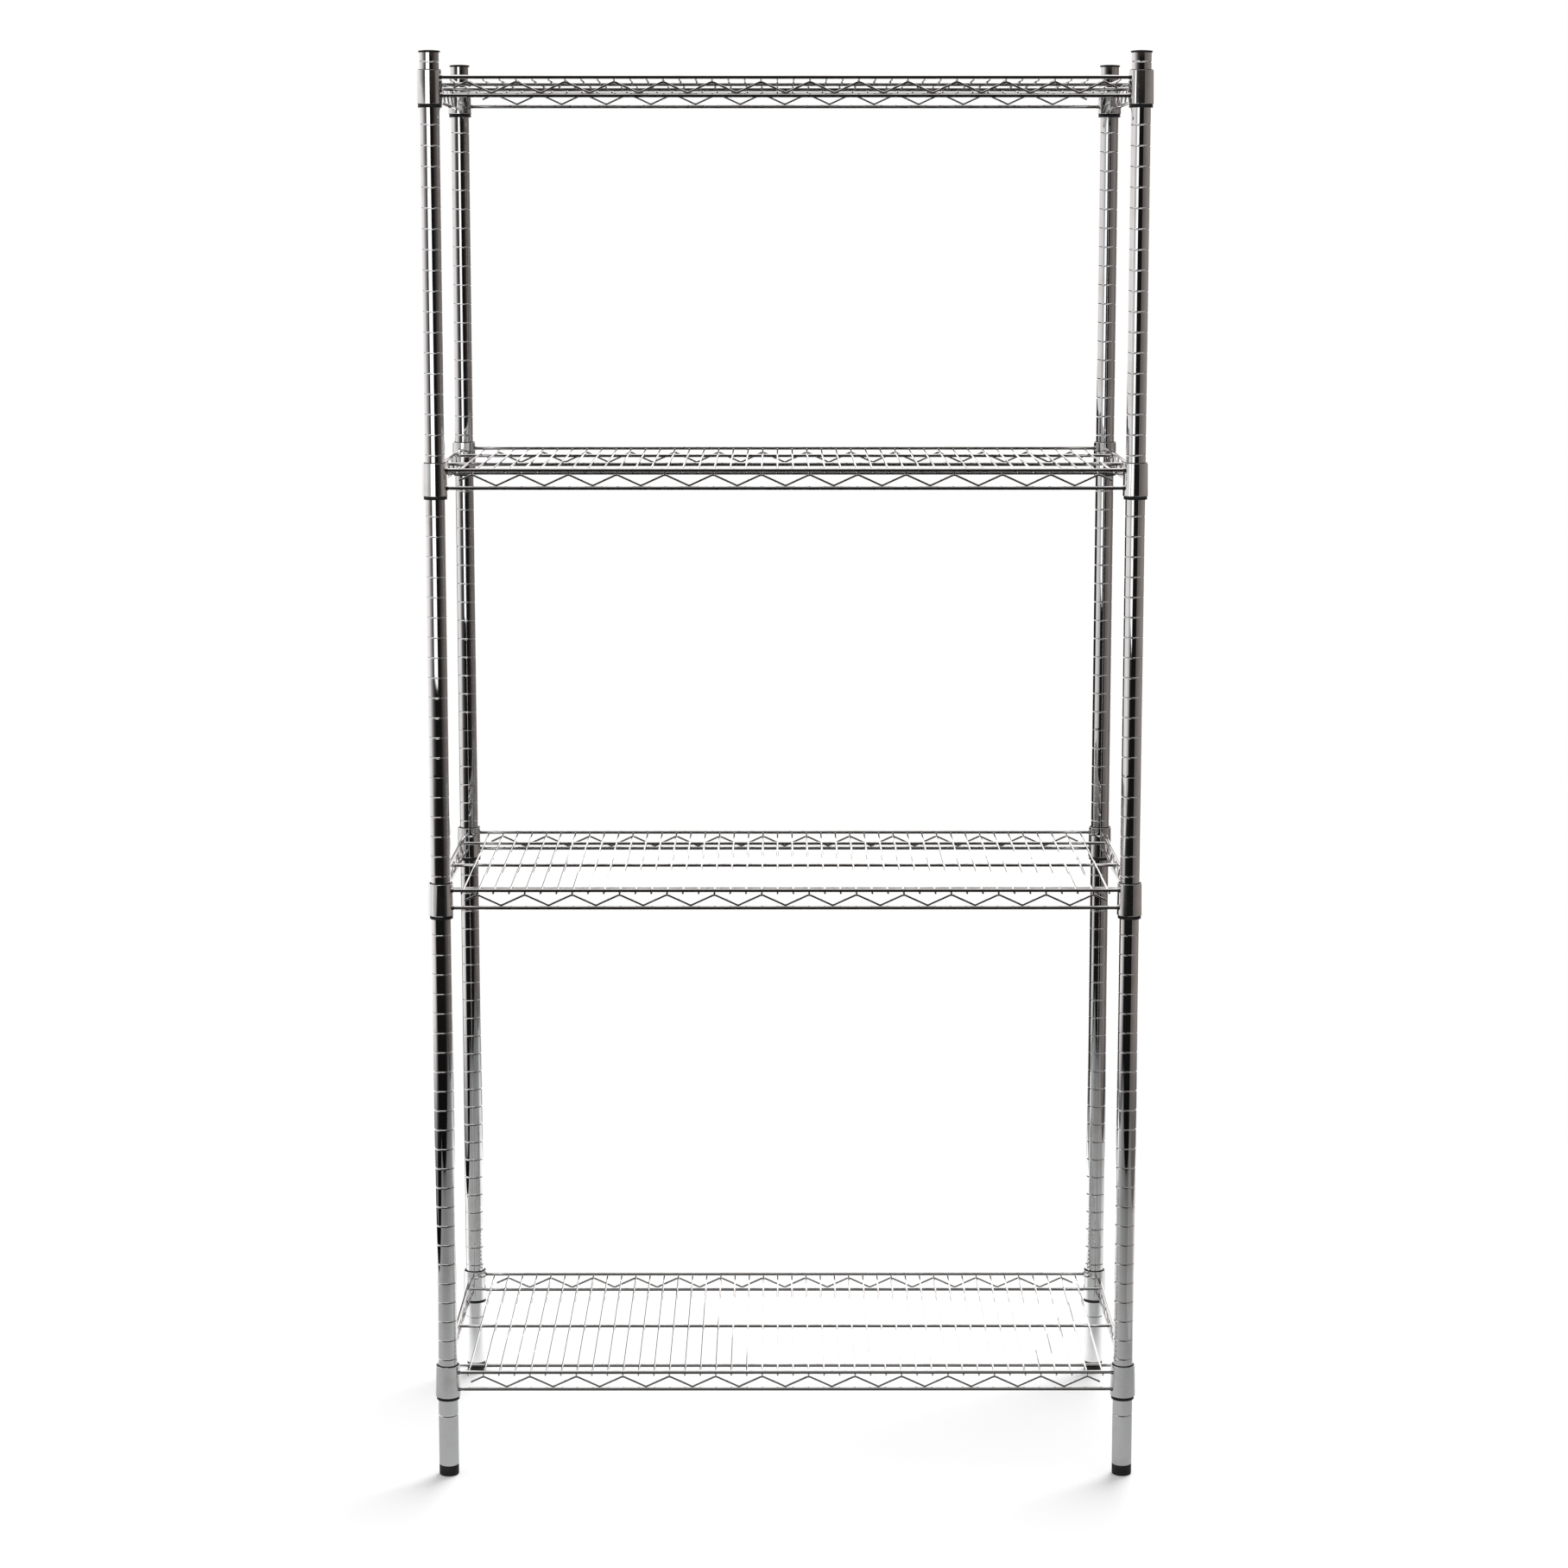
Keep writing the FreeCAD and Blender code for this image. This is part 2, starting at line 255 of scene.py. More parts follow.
def make_black_plastic():
    finish, tree, shader, place = new_finish("black_plastic")
    grain = add_node(tree, "TexVoronoi", Scale=2600.0)
    rubbed = add_node(tree, "TexNoise", Scale=45.0, Detail=5.0)
    rubbed_mask = add_node(tree, "MapRange", From_Min=0.4, From_Max=0.75)
    colour = add_mix(tree, A=NEW_BLACK, B=RUBBED_BLACK)
    roughness = add_node(tree, "MapRange", To_Min=0.36, To_Max=0.58)
    bump = add_node(tree, "Bump", Distance=2e-5, Strength=0.35)
    shader.inputs["Specular IOR Level"].default_value = 0.25
    connect(
        tree,
        (place, "Object", grain, "Vector"),
        (place, "Object", rubbed, "Vector"),
        (rubbed, "Fac", rubbed_mask, "Value"),
        (rubbed_mask, "Result", colour, "Factor"),
        (rubbed_mask, "Result", roughness, "Value"),
        (colour, "Result", shader, "Base Color"),
        (roughness, "Result", shader, "Roughness"),
        (grain, "Distance", bump, "Height"),
        (bump, "Normal", shader, "Normal"),
    )
    return finish


def make_zinc_steel():
    finish, tree, shader, place = new_finish("zinc_steel")
    patches = add_node(tree, "TexNoise", Scale=160.0, Detail=3.0)
    colour = add_mix(tree, A=PALE_ZINC, B=BLUE_ZINC)
    roughness = add_node(tree, "MapRange", To_Min=0.26, To_Max=0.5)
    shader.inputs["Metallic"].default_value = 1.0
    connect(
        tree,
        (place, "Object", patches, "Vector"),
        (patches, "Fac", colour, "Factor"),
        (patches, "Fac", roughness, "Value"),
        (colour, "Result", shader, "Base Color"),
        (roughness, "Result", shader, "Roughness"),
    )
    return finish


finishes["black_plastic"] = make_black_plastic()
finishes["plain_steel"] = make_zinc_steel()
print("finishes:", *finishes)

# %% [markdown]
# Most of the hardware is turned: a profile goes once round an axis. The profile's corners are rounded first,
# as vertices, because a wire corner takes one bevel and the spin then carries it all the way round. Rounded
# edges matter on chrome: they are where the thin bright lines come from.
# Every piece ends in finish_piece. It smooths the faces up to a crease angle, and its Weighted Normal
# modifier lets the large faces rule the shading, so small bevels don't bend the reflections beside them.

# %% Turning a profile
UP = Vector((0, 0, 1))
SAME_POINT = 1e-7           # metres: spun points this close are one


def turn_profile(outline, axis, foot_z, rounding, steps, angle=2 * math.pi):
    """A turned shape from (radius, height) corners, closed unless it starts and ends on the axis."""
    ring = bmesh.new()
    verts = [ring.verts.new((axis.x + r, axis.y, foot_z + z)) for r, z in outline]
    for pair in zip(verts, verts[1:]):
        ring.edges.new(pair)
    on_axis = outline[0][0] == 0
    if not on_axis:
        ring.edges.new((verts[-1], verts[0]))
    corners = verts[1:-1] if on_axis else verts
    bmesh.ops.bevel(ring, geom=corners, affect="VERTICES", offset=rounding, segments=2,
                    profile=0.5, material=-1)
    full = angle == 2 * math.pi
    bmesh.ops.spin(ring, geom=ring.verts[:] + ring.edges[:], cent=(axis.x, axis.y, 0), axis=UP,
                   angle=angle, steps=steps, use_merge=full)
    bmesh.ops.remove_doubles(ring, verts=ring.verts[:], dist=SAME_POINT)
    if not full:
        bmesh.ops.edgeloop_fill(ring, edges=[e for e in ring.edges if e.is_boundary])
    return ring


def add_to(whole, part):
    """Moves a finished part into the mesh of its piece."""
    mesh = bpy.data.meshes.new("part")
    part.to_mesh(mesh)
    part.free()
    whole.from_mesh(mesh)
    bpy.data.meshes.remove(mesh)


def make_object(name, shape, finish):
    mesh = bpy.data.meshes.new(name)
    shape.to_mesh(mesh)
    shape.free()
    mesh.materials.append(finish)
    piece = bpy.data.objects.new(name, mesh)
    scene.collection.objects.link(piece)
    return piece


def finish_piece(name, shape, body, slot, *nodes, crease=40):
    """Makes the object, gives it its finish and ties it to the frame."""
    bmesh.ops.recalc_face_normals(shape, faces=shape.faces[:])
    for face in shape.faces:
        face.smooth = True
    piece = make_object(name, shape, finishes[slot])
    piece.data.set_sharp_from_angle(angle=math.radians(crease))
    even = piece.modifiers.new("even_shading", "WEIGHTED_NORMAL")
    even.keep_sharp = True
    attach(piece, body)
    if nodes:
        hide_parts(*nodes)
    return piece


print("tools: turn_profile, add_to, finish_piece")

# %% [markdown]
# The posts. Each is two lengths of tube with a groove rolled in at every inch, so that a shelf can sit at any
# height. A profile with all the grooves could be spun in one go, but one inch of tube, spun and then stacked,
# follows how the grooves are rolled and keeps the profile short. Loops at the two ends are then extruded
# into rounded lips and joined through the bore.

# %% Tubes
GROOVE_PITCH = 25.4 * MM
GROOVE_WIDTH = 1.7 * MM
GROOVE_DEPTH = 0.7 * MM
GROOVE_ROUNDING = 0.12 * MM
LAND_ABOVE = 4.0 * MM       # plain tube above a groove in one stacked inch
HOLD = 0.45 * MM            # a loop this far beside the groove keeps the plain tube's shading straight
TUBE_WALL = 1.2 * MM
LIP = 0.5 * MM
LIP_BEND = 0.3 * LIP        # where the lip's rounding is half way
TUBE_STEPS = 40
TOUCHING = 1e-6             # metres: loops this close are joined


def loop_at(shape, top):
    """The open edge loop at the top or foot of a shape."""
    edges = [e for e in shape.edges if e.is_boundary]
    heights = [e.verts[0].co.z for e in edges]
    level = max(heights) if top else min(heights)
    return [e for e, z in zip(edges, heights) if abs(z - level) < TOUCHING]


def extrude_loop(shape, edges):
    """Extrudes an edge loop on the spot, and returns its new corners and edges."""
    grown = bmesh.ops.extrude_edge_only(shape, edges=edges)["geom"]
    verts = [g for g in grown if isinstance(g, bmesh.types.BMVert)]
    return verts, [g for g in grown if isinstance(g, bmesh.types.BMEdge) and set(g.verts) <= set(verts)]


def grow_loop(shape, edges, axis, radius, z):
    """Extrudes a round loop to a new radius and height, and returns the new loop."""
    verts, loop = extrude_loop(shape, edges)
    now = math.hypot(verts[0].co.x - axis.x, verts[0].co.y - axis.y)
    bmesh.ops.scale(shape, verts=verts, vec=(radius / now, radius / now, 1), space=Matrix.Translation(-axis))
    bmesh.ops.translate(shape, verts=verts, vec=(0, 0, z - verts[0].co.z))
    return loop


def repeat(shape, moves):
    """Copies the whole shape once for each move."""
    first = shape.verts[:] + shape.edges[:] + shape.faces[:]
    for move in moves:
        copy = bmesh.ops.duplicate(shape, geom=first)["geom"]
        verts = [g for g in copy if isinstance(g, bmesh.types.BMVert)]
        bmesh.ops.translate(shape, verts=verts, vec=move)


def roll_tube(axis, foot_z, top_z, first_groove):
    r = POST_RADIUS
    half = GROOVE_WIDTH / 2
    inch = bmesh.new()
    corners = [inch.verts.new((axis.x + radius, axis.y, first_groove + z)) for radius, z in (
        (r, LAND_ABOVE - GROOVE_PITCH), (r, -half - HOLD), (r, -half), (r - GROOVE_DEPTH, 0), (r, half),
        (r, half + HOLD), (r, LAND_ABOVE))]
    for pair in zip(corners, corners[1:]):
        inch.edges.new(pair)
    bmesh.ops.bevel(inch, geom=corners[2:-2], affect="VERTICES", offset=GROOVE_ROUNDING, segments=1,
                    profile=0.5, material=-1)
    bmesh.ops.spin(inch, geom=inch.verts[:] + inch.edges[:], cent=axis, axis=UP, angle=2 * math.pi,
                   steps=TUBE_STEPS, use_merge=True)
    bmesh.ops.remove_doubles(inch, verts=inch.verts[:], dist=SAME_POINT)
    count = int((top_z - first_groove - LAND_ABOVE + TOUCHING) / GROOVE_PITCH)
    repeat(inch, [(0, 0, k * GROOVE_PITCH) for k in range(1, count + 1)])
    bmesh.ops.remove_doubles(inch, verts=inch.verts[:], dist=TOUCHING)
    bores = []
    for end_z, top in ((foot_z, False), (top_z, True)):
        inward = -1 if top else 1
        loop = loop_at(inch, top)
        for radius, z in ((r, LIP), (r - LIP_BEND, LIP_BEND), (r - LIP, 0), (r - TUBE_WALL, 0)):
            loop = grow_loop(inch, loop, axis, radius, end_z + inward * z)
        bores += loop
    bmesh.ops.bridge_loops(inch, edges=bores)
    return inch, count + 1


FIRST_GROOVE = 67 * MM      # above the foot of the lower tube
for corner in CORNERS:
    for part, first in (("lower", FIRST_GROOVE), ("upper", GROOVE_PITCH)):
        node = f"post_{corner}_{part}"
        low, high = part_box(node)
        shape, grooves = roll_tube(post_axis[corner], low.z, high.z, low.z + first)
        finish_piece(f"tube_{corner}_{part}", shape, "posts", "chrome_post", node, crease=50)
    print("post", corner, "rolled, upper tube with", grooves, "grooves")

# %% [markdown]
# The caps. A thin black cap closes each post: a low dome over a flange that just shows, with a plug that goes
# down into the tube. One profile serves all four and is spun at each corner.

# %% Post caps
CAP_DOME = 1.0 * MM
HALF_WAY_DROP = 0.25        # of the dome, at half the radius
CAP_ROUNDING = 0.4 * MM
CAP_ROOF = 0.5 * MM
PLUG_WALL = 1.6 * MM
PLUG_PLAY = 0.05 * MM
cap_low, cap_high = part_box("post_caps")
CAP_RADIUS = cap_high.x - POST_X
TUBE_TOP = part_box("post_front_left_upper")[1].z
crown, plug = cap_high.z - TUBE_TOP, TUBE_TOP - cap_low.z
plug_radius = POST_RADIUS - TUBE_WALL - PLUG_PLAY
plug_bore = plug_radius - PLUG_WALL
cap_outline = [
    (0, crown), (CAP_RADIUS / 2, crown - HALF_WAY_DROP * CAP_DOME), (CAP_RADIUS, crown - CAP_DOME),
    (CAP_RADIUS, 0), (plug_radius, 0), (plug_radius, -plug), (plug_bore, -plug), (plug_bore, -CAP_ROOF),
    (0, -CAP_ROOF)]
caps = bmesh.new()
for corner in CORNERS:
    add_to(caps, turn_profile(cap_outline, post_axis[corner], TUBE_TOP, CAP_ROUNDING, TUBE_STEPS))
caps_piece = finish_piece("post_caps_domed", caps, "posts", "black_plastic", "post_caps")
print("caps:", len(caps_piece.data.polygons), "faces")

# %% [markdown]
# The feet. Each is a moulded pad on a threaded stud, which screws in and out to level the shelf. The thread
# could be stacked rings, but spin can also climb while it turns, and then it is a real screw thread.

# %% Levelling feet
THREAD_PITCH = 1.25 * MM
THREAD_DEPTH = 0.7 * MM
THREAD_STEPS = 16
PAD_HOLLOW = 0.8 * MM
RIM_AT_ROOF, RIM_AT_FLOOR = 4.0 * MM, 4.5 * MM      # width of the ring round the hollow under the pad
LOW_CHAMFER, HIGH_CHAMFER = 1.2 * MM, 0.6 * MM
PAD_ROUNDING = 0.35 * MM
STUD_PLAY = 0.05 * MM


def cut_thread(axis, foot_z, top_z, radius):
    """A screw thread: one V tooth that climbs one pitch in each turn."""
    stud = bmesh.new()
    turns = int((top_z - foot_z) / THREAD_PITCH) - 1
    tooth = [stud.verts.new((axis.x + r, axis.y, foot_z + z)) for r, z in (
        (radius - THREAD_DEPTH, 0), (radius, THREAD_PITCH / 2), (radius - THREAD_DEPTH, THREAD_PITCH))]
    edges = [stud.edges.new(pair) for pair in zip(tooth, tooth[1:])]
    bmesh.ops.spin(stud, geom=tooth + edges, cent=axis, axis=UP, dvec=(0, 0, THREAD_PITCH / THREAD_STEPS),
                   angle=turns * 2 * math.pi, steps=turns * THREAD_STEPS)
    bmesh.ops.remove_doubles(stud, verts=stud.verts[:], dist=TOUCHING)
    bmesh.ops.holes_fill(stud, edges=[e for e in stud.edges if e.is_boundary])
    return stud


for corner in CORNERS:
    foot, pad_node, stud_node = "foot_" + corner, "foot_pad_" + corner, "foot_stud_" + corner
    low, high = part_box(pad_node)
    stud_low, stud_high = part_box(stud_node)
    stud_radius = (stud_high.x - stud_low.x) / 2
    height = high.z - low.z
    radius = (high.x - low.x) / 2
    socket = stud_radius + STUD_PLAY
    pad = turn_profile(
        [(0, PAD_HOLLOW), (radius - RIM_AT_ROOF, PAD_HOLLOW), (radius - RIM_AT_FLOOR, 0),
         (radius - LOW_CHAMFER, 0), (radius, LOW_CHAMFER), (radius, height - HIGH_CHAMFER),
         (radius - HIGH_CHAMFER, height), (socket, height), (socket, stud_low.z), (0, stud_low.z)],
        post_axis[corner], low.z, PAD_ROUNDING, TUBE_STEPS)
    finish_piece(foot, pad, foot, "black_plastic", pad_node)
    thread = cut_thread(post_axis[corner], stud_low.z, stud_high.z, stud_radius)
    finish_piece("foot_thread_" + corner, thread, foot, "plain_steel", stud_node, crease=30)
print("feet: 4 pads and 4 threaded studs")

# %% [markdown]
# The corner of a shelf. A tapered steel sleeve slides down over two black half clips, whose inner rib sits in
# a groove of the post: the more it carries, the tighter it wedges. Under each sleeve a few millimetres of
# clip show as a black ring. The sleeve is a full spin, and a clip is a spin of just under half a turn, closed
# at its two cut faces.

# %% Corner sleeves and split clips
SLEEVE_WALL = 1.3 * MM
SLEEVE_STEPS = 48
SLEEVE_ROUNDING = 0.45 * MM
CLIP_GAP = math.radians(2)
CLIP_ROUNDING = 0.25 * MM
SLEEVE_PLAY = 0.2 * MM      # between a clip and its sleeve
POST_PLAY = 0.1 * MM        # between a clip and its post
RIB_DEPTH = 0.3 * MM        # how far a clip's rib reaches into the groove
RIB_HALF = 0.7 * MM         # half the rib's height
TOP_EDGE = 0.01 * MM        # corners this near the top are on its edge
cad_sleeves = frame["nodes"]["tier_1_corner_sleeves"].data.vertices
SLEEVE_TOP_RADIUS = max(v.co.x for v in cad_sleeves if v.co.z > sleeve_high.z - TOP_EDGE) - POST_X


def sleeve_radius(height):
    """Outside radius of a sleeve at a height above its foot."""
    share = height / SLEEVE_HEIGHT
    return SLEEVE_FOOT_RADIUS + (SLEEVE_TOP_RADIUS - SLEEVE_FOOT_RADIUS) * share


def make_sleeves(tier):
    sleeves = bmesh.new()
    foot, top = sleeve_radius(0), sleeve_radius(SLEEVE_HEIGHT)
    outline = [(foot - SLEEVE_WALL, 0), (foot, 0), (top, SLEEVE_HEIGHT), (top - SLEEVE_WALL, SLEEVE_HEIGHT)]
    for corner in CORNERS:
        add_to(sleeves, turn_profile(outline, post_axis[corner], tier_foot[tier], SLEEVE_ROUNDING,
                                     SLEEVE_STEPS))
    finish_piece(f"tier_{tier}_sleeves", sleeves, f"tier_{tier}", "chrome_sleeve",
                 f"tier_{tier}_corner_sleeves", crease=50)


def make_clips(tier):
    node = f"tier_{tier}_clips"
    low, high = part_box(node)
    foot_z = tier_foot[tier]
    bottom, top = low.z - foot_z, high.z - foot_z
    gap = SLEEVE_WALL + SLEEVE_PLAY
    bore = POST_RADIUS + POST_PLAY
    rib = POST_RADIUS - RIB_DEPTH
    outline = [
        (bore, bottom), (sleeve_radius(bottom) - gap, bottom), (sleeve_radius(top) - gap, top), (bore, top),
        (bore, GROOVE_PITCH + RIB_HALF), (rib, GROOVE_PITCH), (bore, GROOVE_PITCH - RIB_HALF)]
    clips = bmesh.new()
    for corner in CORNERS:
        axis = post_axis[corner]
        for start in (CLIP_GAP / 2, math.pi + CLIP_GAP / 2):
            half = turn_profile(outline, axis, foot_z, CLIP_ROUNDING, SLEEVE_STEPS // 2,
                                angle=math.pi - CLIP_GAP)
            bmesh.ops.rotate(half, verts=half.verts[:], cent=axis, matrix=Matrix.Rotation(start, 3, "Z"))
            add_to(clips, half)
    finish_piece(node + "_split", clips, "posts", "black_plastic", node)


for tier in TIERS:
    make_sleeves(tier)
    make_clips(tier)
print(f"sleeves: radius {SLEEVE_FOOT_RADIUS:.4f} at the foot, {SLEEVE_TOP_RADIUS:.4f} at the top")

# %% [markdown]
# The wires. A curve with a bevel would make them too, but a ring that is pushed along and turned at the bends
# gives a clean closed mesh, with the same number of sides all the way. Every wire begins as a circle, is
# extruded from ring to ring, and gets a small chamfer and a cap where it was cut off.

# %% Pushing a ring along a wire
CHAMFER = 0.25              # of the wire's radius


def start_ring(shape, centre, direction, radius, sides):
    place = Matrix.Translation(centre) @ direction.to_track_quat("Z", "Y").to_matrix().to_4x4()
    verts = bmesh.ops.create_circle(shape, radius=radius, segments=sides, matrix=place)["verts"]
    return list({e for v in verts for e in v.link_edges})


def ring_verts(edges):
    return list({v for e in edges for v in e.verts})


def push_ring(shape, edges, vector, scale=1.0):
    """Extrudes a ring by a vector, wider or narrower by scale, and returns the new ring."""
    verts, ring = extrude_loop(shape, edges)
    bmesh.ops.translate(shape, verts=verts, vec=vector)
    if scale != 1.0:
        centre = sum((v.co for v in verts), Vector()) / len(verts)
        bmesh.ops.scale(shape, verts=verts, vec=(scale, scale, scale), space=Matrix.Translation(-centre))
    return ring


def straight_wire(start, end, radius, sides):
    """A round wire cut square at both ends, with its cut edges broken."""
    wire = bmesh.new()
    run = end - start
    along = run.normalized()
    short = along * radius * CHAMFER
    first = start_ring(wire, start, along, radius * (1 - CHAMFER), sides)
    ring = push_ring(wire, first, short, 1 / (1 - CHAMFER))
    ring = push_ring(wire, ring, run - 2 * short)
    last = push_ring(wire, ring, short, 1 - CHAMFER)
    bmesh.ops.edgeloop_fill(wire, edges=first + last)
    return wire


print("tools: start_ring, push_ring, straight_wire")

# %% [markdown]
# Stringers and deck. Three stringers run from side to side, and 42 thin wires lie over them from front to
# back. One deck wire is made and copied, with only eight sides, because it is repeated so many times.

# %% Stringers and deck wires
STRINGERS = 3
DECK_WIRES = 42
DECK_SIDES = 8
WIRE_SIDES = 12
str_low, str_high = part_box("tier_1_stringers")
deck_low, deck_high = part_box("tier_1_deck_wires")
STRINGER_RADIUS = (str_high.z - str_low.z) / 2
DECK_RADIUS = (deck_high.z - deck_low.z) / 2
STRINGER = (str_high.z + str_low.z) / 2 - FOOT_Z
DECK = (deck_high.z + deck_low.z) / 2 - FOOT_Z
STRINGER_Y = str_high.y - STRINGER_RADIUS / FLAT_TO_CORNER
DECK_X = deck_high.x - DECK_RADIUS / FLAT_TO_CORNER
stringer_ys = [-STRINGER_Y + 2 * STRINGER_Y * k / (STRINGERS - 1) for k in range(STRINGERS)]
deck_xs = [-DECK_X + 2 * DECK_X * k / (DECK_WIRES - 1) for k in range(DECK_WIRES)]

for tier in TIERS:
    shelf = f"tier_{tier}"
    stringers = bmesh.new()
    z = tier_foot[tier] + STRINGER
    for y in stringer_ys:
        add_to(stringers, straight_wire(Vector((str_low.x, y, z)), Vector((str_high.x, y, z)),
                                        STRINGER_RADIUS, WIRE_SIDES))
    finish_piece(shelf + "_stringer_wires", stringers, shelf, "chrome_wire", shelf + "_stringers")
    z = tier_foot[tier] + DECK
    deck = straight_wire(Vector((deck_xs[0], deck_low.y, z)), Vector((deck_xs[0], deck_high.y, z)),
                         DECK_RADIUS, DECK_SIDES)
    repeat(deck, [(x - deck_xs[0], 0, 0) for x in deck_xs[1:]])
    finish_piece(shelf + "_deck", deck, shelf, "chrome_wire", shelf + "_deck_wires")
print(f"deck: {DECK_WIRES} wires {deck_xs[1] - deck_xs[0]:.4f} apart on {STRINGERS} stringers")

# %% [markdown]
# The edge trusses. Each side of a shelf has an upper and a lower rim wire with a zigzag between them, which
# makes the edge as stiff as a small girder. The rims come first. They are welded to the sleeves, so their
# ends flare into a small fillet and are cut off inside the sleeve's wall by a plane square to its radius.

# %% Rim wires
FLARE = ((0.0, 1.5), (1.0 * MM, 1.22), (2.6 * MM, 1.0))     # distance from the sleeve, times the rim's radius
RUN_IN = 4.0 * MM           # a rim starts this far inside the sleeve, before it is cut off
CUT_INSIDE = 0.6 * MM


def rim_wire(start_post, end_post, offset, height, foot_z):
    """A rim between two posts, offset sideways from the line of their axes."""
    rise = UP * (foot_z + height)
    along = (end_post - start_post).normalized()
    sleeve = sleeve_radius(height)
    reach = math.sqrt(sleeve ** 2 - offset.length ** 2)
    span = (end_post - start_post).length
    at, size = reach - RUN_IN, FLARE[0][1]
    stations = [(reach + d, s) for d, s in FLARE] + [(span - reach - d, s) for d, s in reversed(FLARE)]
    stations.append((span - at, size))
    wire = bmesh.new()
    ring = start_ring(wire, start_post + offset + rise + along * at, along, RIM_RADIUS * size, WIRE_SIDES)
    for station, scale in stations:
        ring = push_ring(wire, ring, along * (station - at), scale / size)
        at, size = station, scale
    for post, way in ((start_post, along), (end_post, -along)):
        outward = (offset + way * reach).normalized()
        bmesh.ops.bisect_plane(wire, geom=wire.verts[:] + wire.edges[:] + wire.faces[:], dist=SAME_POINT,
                               plane_co=post + rise + outward * (sleeve - CUT_INSIDE), plane_no=outward,
                               clear_inner=True)
    bmesh.ops.edgeloop_fill(wire, edges=[e for e in wire.edges if e.is_boundary])
    return wire


print("rim wires: radius", round(RIM_RADIUS, 5), "flared to", FLARE[0][1], "times at the weld")

# %% [markdown]
# The zigzag is one wire, bent up and down round pins. It is pushed along its straight runs, and spin takes it
# round each bend. Its slope is that of a line that touches two neighbouring pins, so run and bend meet
# smoothly. In front and behind it has a peak at every third deck wire, on the sides six waves.

# %% Zigzag wires
ZIGZAG_RADIUS = 1.3 * MM
BEND_RADIUS = 6.0 * MM
BEND_STEPS = 4
ZIGZAG_SIDES = 10


def zigzag_wire(base, along, peaks, valleys, floor, ceiling):
    """A round wire that rises and falls between two heights, with a quarter wave left at each end."""
    marks = sorted(peaks + valleys)
    half_wave = marks[1] - marks[0]
    rise = ceiling - floor - 2 * ZIGZAG_RADIUS
    slack = rise - 2 * BEND_RADIUS
    slope = math.atan2(slack, half_wave) + math.asin(2 * BEND_RADIUS / math.hypot(slack, half_wave))
    across = along.cross(UP)
    low, high = floor + ZIGZAG_RADIUS, ceiling - ZIGZAG_RADIUS
    wire = bmesh.new()
    ring = first = None
    for mark in marks:
        top = mark in peaks
        turn = 1 if top else -1
        pin = base + along * mark + UP * (high - BEND_RADIUS if top else low + BEND_RADIUS)
        lean = along * -math.sin(slope) + UP * math.cos(slope) * turn
        bend_start = pin + lean * BEND_RADIUS
        heading = along * math.cos(slope) + UP * math.sin(slope) * turn
        if ring is None:
            stub = half_wave / 2 / math.cos(slope) - BEND_RADIUS * math.tan(slope / 2)
            ring = first = start_ring(wire, bend_start - heading * stub, heading, ZIGZAG_RADIUS, ZIGZAG_SIDES)
            ring = push_ring(wire, ring, heading * stub)
        else:
            centre = sum((v.co for v in ring_verts(ring)), Vector()) / ZIGZAG_SIDES
            ring = push_ring(wire, ring, bend_start - centre)
        spun = bmesh.ops.spin(wire, geom=ring_verts(ring) + ring, cent=pin, axis=across,
                              angle=-2 * slope * turn, steps=BEND_STEPS)["geom_last"]
        ring = [g for g in spun if isinstance(g, bmesh.types.BMEdge)]
    heading = along * math.cos(slope) - UP * math.sin(slope) * turn
    last = push_ring(wire, ring, heading * stub)
    bmesh.ops.edgeloop_fill(wire, edges=first + last)
    return wire


peak_xs = deck_xs[1::3]
valley_xs = [(a + b) / 2 for a, b in zip(peak_xs, peak_xs[1:])]
SIDE_WAVES = 3              # to each side of the middle
valley_ys = [STRINGER_Y * k / SIDE_WAVES for k in range(-SIDE_WAVES, SIDE_WAVES + 1)]
peak_ys = [(a + b) / 2 for a, b in zip(valley_ys, valley_ys[1:])]
print("zigzags:", len(peak_xs), "peaks along the front,", len(peak_ys), "along a side")

# %% [markdown]
# Now each edge is put together from two rims and a zigzag. In front and behind the zigzag reaches up to the
# deck wires, which lie under the upper rim there. On the sides it reaches up to the rim itself.

# %% Put the trusses together
AXIS_X, AXIS_Y = Vector((1, 0, 0)), Vector((0, 1, 0))


def make_truss(tier, side):
    foot_z = tier_foot[tier]
    truss = bmesh.new()
    if side in ("front", "rear"):
        y = -RIM_Y if side == "front" else RIM_Y
        ends = post_axis[side + "_left"], post_axis[side + "_right"]
        offset = Vector((0, y - ends[0].y, 0))
        heights = TOP_RIM, BOTTOM_RIM
        zigzag = zigzag_wire(Vector((0, y, foot_z)), AXIS_X, peak_xs, valley_xs,
                             BOTTOM_RIM + RIM_RADIUS, DECK - DECK_RADIUS)
    else:
        x = -RIM_X if side == "left" else RIM_X
        ends = post_axis["front_" + side], post_axis["rear_" + side]
        offset = Vector((x - ends[0].x, 0, 0))
        heights = SIDE_TOP_RIM, SIDE_BOTTOM_RIM
        zigzag = zigzag_wire(Vector((x, 0, foot_z)), AXIS_Y, peak_ys, valley_ys,
                             SIDE_BOTTOM_RIM + RIM_RADIUS, SIDE_TOP_RIM - RIM_RADIUS)
    for height in heights:
        add_to(truss, rim_wire(*ends, offset, height, foot_z))
    add_to(truss, zigzag)
    return finish_piece(f"tier_{tier}_{side}_edge", truss, f"tier_{tier}", "chrome_wire",
                        f"tier_{tier}_{side}_truss")


for tier in TIERS:
    for side in ("front", "rear", "left", "right"):
        edge = make_truss(tier, side)
    print("tier", tier, "trusses done, the last with", len(edge.data.polygons), "faces")

